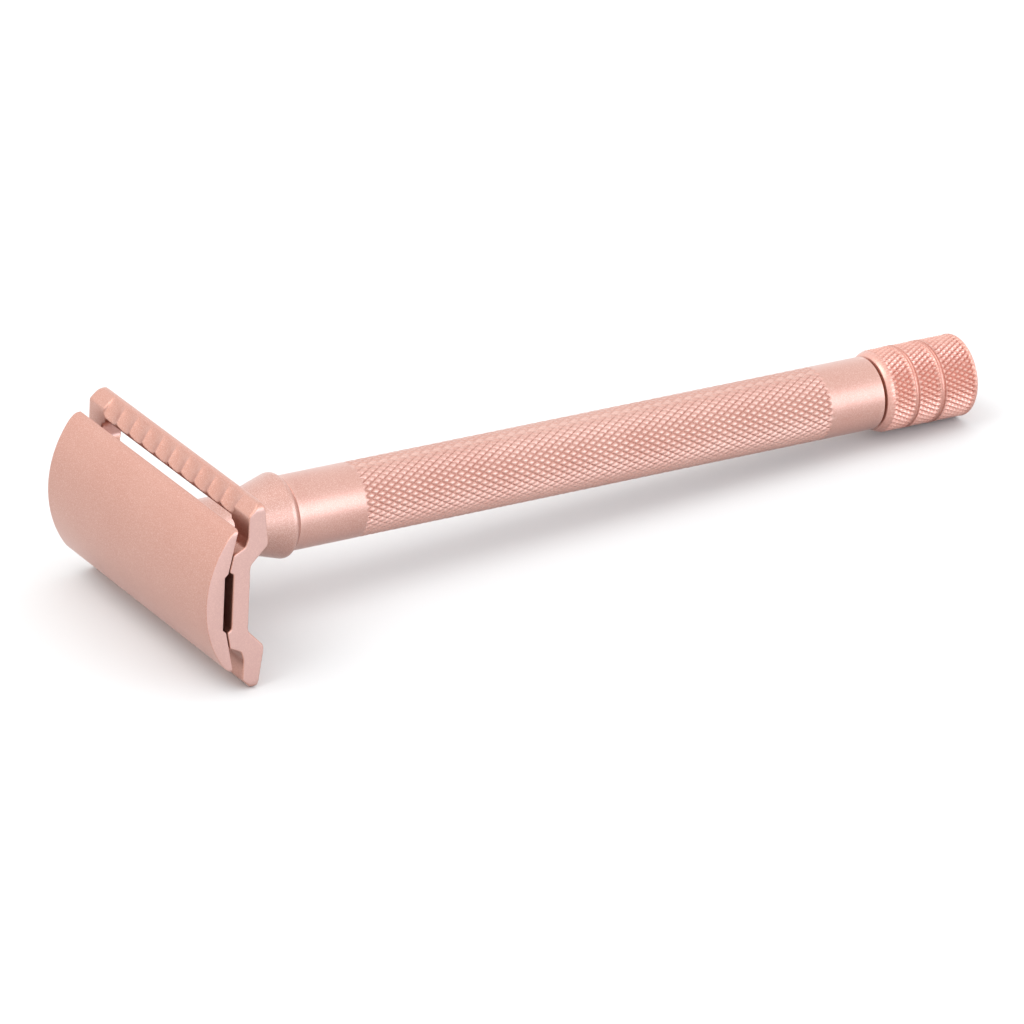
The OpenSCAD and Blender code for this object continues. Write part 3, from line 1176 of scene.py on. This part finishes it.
    def dress(self, shop: Workshop) -> None:
        """Builds and hands over the plate.

        Args:
            shop: The workshop.
        """
        shop.hand_over(self.build(), HEAD_PLATE, Body.HANDLE, ["guard_plate"], 40)


# ---------------------------------------------------------------------------------------
# Handle
# ---------------------------------------------------------------------------------------


@dataclass
class Neck:
    """The neck that joins the guard plate to the handle tube."""

    stud_hole: float = 2.75
    spigot_r: float = 3.4
    top: float = 0.82
    foot: float = -1.68
    radius: float = 4.15
    cone_top: float = -11.98
    cone_end: float = -17.38
    ring_r: float = 5.75
    ring_len: float = 0.5
    ring_round: float = 0.7
    joint_r: float = 5.0
    bore_r: float = 3.27
    socket_top: float = -3.05
    bush_top: float = -12.78
    bush_wall: float = 0.4
    tail_end: float = -26.58
    tail_r: float = 4.2
    lip: float = 0.1
    fillet: Point = (0.25, 0.3)

    def build(self) -> bpy.types.Object:
        """Turns the neck."""
        grid = TurnedGrid(120)
        step = self.cone_end - self.ring_len - self.ring_round
        bush_r = self.bore_r + self.bush_wall
        grid.line(rounded([
            (self.stud_hole, self.top - self.lip, 0.0), (self.stud_hole + self.lip, self.top, 0.0),
            (self.spigot_r, self.top, 0.0), (self.spigot_r, self.foot, 0.0),
            (self.radius + self.fillet[0], self.foot, 0.0),
            (self.radius, self.foot - self.fillet[1], 0.25),
            (self.radius, self.cone_top, 6.0), (self.ring_r, self.cone_end, 0.6),
            (self.ring_r, self.cone_end - self.ring_len, 0.5), (self.joint_r, step, 0.0),
            (self.tail_r, step, 0.0), (self.tail_r, self.tail_end, 0.0),
            (bush_r, self.tail_end, 0.0), (bush_r, self.bush_top, 0.0),
            (self.bore_r, self.bush_top, 0.0), (self.bore_r, self.socket_top, 0.0),
            (self.stud_hole, self.socket_top, 0.0)], steps=8))
        return grid.build("razor_neck", loop=True)

    def dress(self, shop: Workshop) -> None:
        """Builds and hands over the neck.

        Args:
            shop: The workshop.
        """
        shop.hand_over(self.build(), NECK_PLATE, Body.HANDLE, ["neck"], 32)


@dataclass
class HandleTube:
    """The knurled handle tube."""

    radius: float = 5.05
    bore: float = 4.2
    start: float = 18.58
    end: float = 111.18
    chamfer: float = 0.1
    band: Point = (28.75, 102.6)
    plain_rows: int = 8
    knurl: Knurl = Knurl(starts=33, pitch=1.653, depth=0.2, flat=0.45, fineness=3, fade=0.35)

    def build(self) -> bpy.types.Object:
        """Turns the tube and rolls its knurling."""
        grid, gap = TurnedGrid(self.knurl.columns), 0.05
        grid.line([(self.bore, -self.start), (self.radius - self.chamfer, -self.start),
                   (self.radius, -self.start - self.chamfer)])
        grid.line([(self.radius, -d)
                   for d in np.linspace(self.start + 1, self.band[0] - gap, self.plain_rows)])
        self.knurl.cut_rows(grid, lambda d: self.radius, *self.band)
        grid.line([(self.radius, -d)
                   for d in np.linspace(self.band[1] + gap, self.end - 1, self.plain_rows)])
        grid.line([(self.radius, -self.end + self.chamfer), (self.radius - self.chamfer, -self.end),
                   (self.bore, -self.end)])
        return grid.build("razor_handle_tube", loop=True)

    def dress(self, shop: Workshop) -> None:
        """Builds and hands over the tube.

        Args:
            shop: The workshop.
        """
        shop.hand_over(self.build(), HANDLE_PLATE, Body.HANDLE, ["handle_tube"], 35)


# ---------------------------------------------------------------------------------------
# Knob
# ---------------------------------------------------------------------------------------


@dataclass
class TwistKnob:
    """The knurled knob and the plug in its end."""

    radius: float = 5.75
    lead: Point = (0.6, 1.2)
    start: float = 111.53
    end: float = 126.18
    grooves: tuple[float, float] = (116.18, 120.48)
    groove_w: float = 0.65
    groove_d: float = 0.3
    groove_r: float = 0.16
    shoulder: float = 0.9
    rim: float = 0.3
    face_rings: tuple[float, ...] = (5.3, 5.1, 4.2, 3.4, 3.2)
    rod_r: float = 1.9
    screw_r: float = 1.2
    web: Point = (119.98, 121.38)
    well_r: float = 3.0
    plug: Point = (124.68, 125.98)
    plug_gap: float = 0.02
    plug_ring: tuple[float, float, float, float] = (2.25, 2.17, 1.98, 1.9)
    plug_ring_d: float = 0.09
    lip: float = 0.08
    knurl: Knurl = Knurl(starts=46, pitch=1.36, depth=0.3, flat=0.08, fineness=3, fade=0.3)

    def crest(self, down: float) -> float:
        """The crests' radius at a distance down the handle."""
        ramp = min(1.0, max(0.0, (down - self.start) / self.lead[1]))
        return self.radius - self.lead[0] * (1 - ramp)

    def build(self) -> bpy.types.Object:
        """Turns the knob and rolls its knurling."""
        grid, lip = TurnedGrid(self.knurl.columns), self.lip
        grid.line([(self.rod_r, -self.start), (self.crest(self.start) - 0.1, -self.start),
                   (self.crest(self.start + lip), -self.start - lip)])
        half = self.groove_w / 2
        edges = [self.start + self.shoulder, *[g + s * half for g in self.grooves for s in (-1, 1)],
                 self.end - self.rim]
        for band, groove in zip(zip(edges[::2], edges[1::2]), (*self.grooves, None)):
            self.knurl.cut_rows(grid, self.crest, *band)
            if groove is not None:
                self._turn_groove(grid, groove)
        rim_c = (self.radius - self.rim, -self.end + self.rim)
        grid.line(arc(rim_c, self.rim, -10, -90, 5))
        grid.line([(r, -self.end) for r in self.face_rings])
        grid.line([(self.well_r + lip, -self.end), (self.well_r, -self.end + lip),
                   (self.well_r, -self.web[1]), (self.screw_r, -self.web[1]),
                   (self.screw_r, -self.web[0]), (self.rod_r, -self.web[0])])
        return grid.build("razor_twist_knob", loop=True)

    def _turn_groove(self, grid: TurnedGrid, middle: float) -> None:
        """Adds the rows of one round-bottomed groove.

        Args:
            grid: The surface that gets the rows.
            middle: The groove's distance down the handle.
        """
        half, edge_d, step = self.groove_w / 2, 0.04, 0.02
        floor, width = self.radius - self.groove_d, (half - 3 * step) / self.groove_r
        grid.line([(self.radius - edge_d, -(middle - half) - step)])
        grid.line([(r, -(middle + x * width))
                   for x, r in arc((0.0, floor + self.groove_r), self.groove_r, 180, 360, 6)])
        grid.line([(self.radius - edge_d, -(middle + half) + step)])

    def build_plug(self) -> bpy.types.Object:
        """Turns the plug, with a shallow ring cut into its face."""
        grid, side = TurnedGrid(72), self.well_r - self.plug_gap
        back, face = -self.plug[0], -self.plug[1]
        floor = face + self.plug_ring_d
        outer, outer_floor, inner_floor, inner = self.plug_ring
        grid.line([(side - self.lip, back), (side, back - self.lip), (side, face + 0.1),
                   (side - 0.12, face), (outer, face), (outer_floor, floor), (inner_floor, floor),
                   (inner, face), (0.3, face)])
        return grid.build("knob_end_plug", loop=False)

    def dress(self, shop: Workshop) -> None:
        """Builds and hands over the knob and its plug.

        Args:
            shop: The workshop.
        """
        shop.hand_over(self.build(), KNOB_PLATE, Body.KNOB, ["knob"], 35)
        shop.hand_over(self.build_plug(), PLUG_PLATE, Body.KNOB, ["knob_plug"], 35)


@dataclass
class Works:
    """The pieces inside the handle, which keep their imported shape."""

    finishes: Mapping[str, Finish] = field(default_factory=lambda: {
        "neck_bush": BRONZE, "rod_socket": STEEL, "socket_pin": STEEL, "draw_rod": STEEL,
        "rod_guide": NYLON, "lower_bush": BRONZE, "rod_seal": NITRILE, "retaining_ring": STEEL,
        "disc_spring": STEEL, "thrust_washer": BRONZE, "knob_screw": STEEL})

    def dress(self, shop: Workshop) -> None:
        """Gives each inner piece its finish.

        Args:
            shop: The workshop.
        """
        for node, finish in self.finishes.items():
            shop.coat(shop.frame["nodes"][node], finish)
            LOG.info("%s keeps its packed shape in %s", node, finish.name)


# ---------------------------------------------------------------------------------------
# Studio
# ---------------------------------------------------------------------------------------


def toward(azimuth: float, elevation: float) -> Vector:
    """Direction from the razor out to a light or a camera.

    Args:
        azimuth: 0 in front of the head and 90 to the right, in degrees.
        elevation: Angle over the floor, in degrees.

    Returns:
        The direction.
    """
    a, e = math.radians(azimuth), math.radians(elevation)
    return Vector((math.sin(a) * math.cos(e), -math.cos(a) * math.cos(e), math.sin(e)))


@dataclass(frozen=True)
class SoftLight:
    """One large square light that faces the razor.

    Attributes:
        name: The light's name.
        azimuth: Its direction, 0 in front of the head and 90 to the right, in degrees.
        elevation: Its angle over the floor, in degrees.
        power: Its power, in watts.
        size: Width of its face, in metres.
        distance: Its distance, in metres.
        colour: Its colour.
    """

    name: str
    azimuth: float
    elevation: float
    power: float
    size: float
    distance: float = 1.6
    colour: Colour = (1.0, 1.0, 1.0)

    def hang(self) -> None:
        """Hangs the light."""
        lamp = bpy.data.lights.new(self.name, "AREA")
        lamp.shape, lamp.size, lamp.energy = "SQUARE", self.size, self.power
        lamp.color = self.colour
        holder = bpy.data.objects.new(self.name, lamp)
        away = toward(self.azimuth, self.elevation)
        holder.location = away * self.distance
        holder.rotation_euler = away.to_track_quat("Z", "Y").to_euler()
        bpy.context.scene.collection.objects.link(holder)


@dataclass
class Studio:
    """A pale floor, soft lights and the camera."""

    floor_size: float = 12.0
    floor_colour: Colour = (0.66, 0.66, 0.66)
    mottle_size: float = 40.0
    mottle_share: float = 0.99
    azimuth: float = 58.236
    elevation: float = 26.195
    aim: Place = (0.017505, -0.017400, 0.013279)
    distance: float = 1.05575
    lens: float = 283.62
    sensor: float = 36.0
    clip: Point = (0.05, 50.0)
    world: float = 1.45
    lights: tuple[SoftLight, ...] = (
        SoftLight("key", azimuth=0.0, elevation=58.0, power=8.0, size=0.9),
        SoftLight("side", azimuth=112.0, elevation=14.0, power=12.0, size=1.4, colour=(0.82, 1.0, 1.16)))

    def lay_floor(self) -> None:
        """Lays the floor."""
        s = self.floor_size / 2
        floor = mesh_object("studio_floor", [(-s, -s, 0), (s, -s, 0), (s, s, 0), (-s, s, 0)],
                            [(0, 1, 2, 3)])
        graph = Graph("studio_paper")
        mottle = graph.noise(graph.place(), self.mottle_size)
        shade = tuple(c * self.mottle_share for c in self.floor_colour)
        pale = graph.blend(mottle, self.floor_colour, shade)
        floor.data.materials.append(graph.finish(base_color=pale, roughness=0.9))
        floor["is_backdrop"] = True

    def set_world(self) -> None:
        """Sets an even pale sky."""
        sky = bpy.data.worlds.new("studio_sky")
        bpy.context.scene.world = sky
        sky.use_nodes = True
        back = next(n for n in sky.node_tree.nodes if n.type == "BACKGROUND")
        back.inputs["Color"].default_value = (1.0, 1.0, 1.0, 1.0)
        back.inputs["Strength"].default_value = self.world
        bpy.context.scene.view_settings.view_transform = "Standard"

    def set_camera(self) -> None:
        """Sets the camera."""
        lens = bpy.data.cameras.new("studio_camera")
        lens.lens, lens.sensor_width = self.lens, self.sensor
        lens.clip_start, lens.clip_end = self.clip
        camera = bpy.data.objects.new("studio_camera", lens)
        away = toward(self.azimuth, self.elevation)
        camera.location = Vector(self.aim) + away * self.distance
        camera.rotation_euler = away.to_track_quat("Z", "Y").to_euler()
        bpy.context.scene.collection.objects.link(camera)
        bpy.context.scene.camera = camera

    def build(self) -> None:
        """Sets up the whole studio."""
        self.set_world()
        self.lay_floor()
        for lamp in self.lights:
            lamp.hang()
        self.set_camera()


def corners(box: tuple[Vector, Vector]) -> list[list[float]]:
    """A box's two corners as plain lists."""
    return [[float(c) for c in corner] for corner in box]


def main() -> None:
    """Builds the razor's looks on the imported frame."""
    logging.basicConfig(level=logging.INFO, format="%(name)s %(message)s")
    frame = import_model()
    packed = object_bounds()
    guard = GuardPlate(BladeSeat())
    shop = Workshop(frame, Lay.from_record(frame["record"], guard.top))
    for assembly in (CapHead(BladeSeat()), guard, Neck(), HandleTube(), TwistKnob(), Works()):
        assembly.dress(shop)
    Studio().build()
    {"cad": corners(packed), "visual": corners(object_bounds())}


if __name__ == "__main__":
    main()
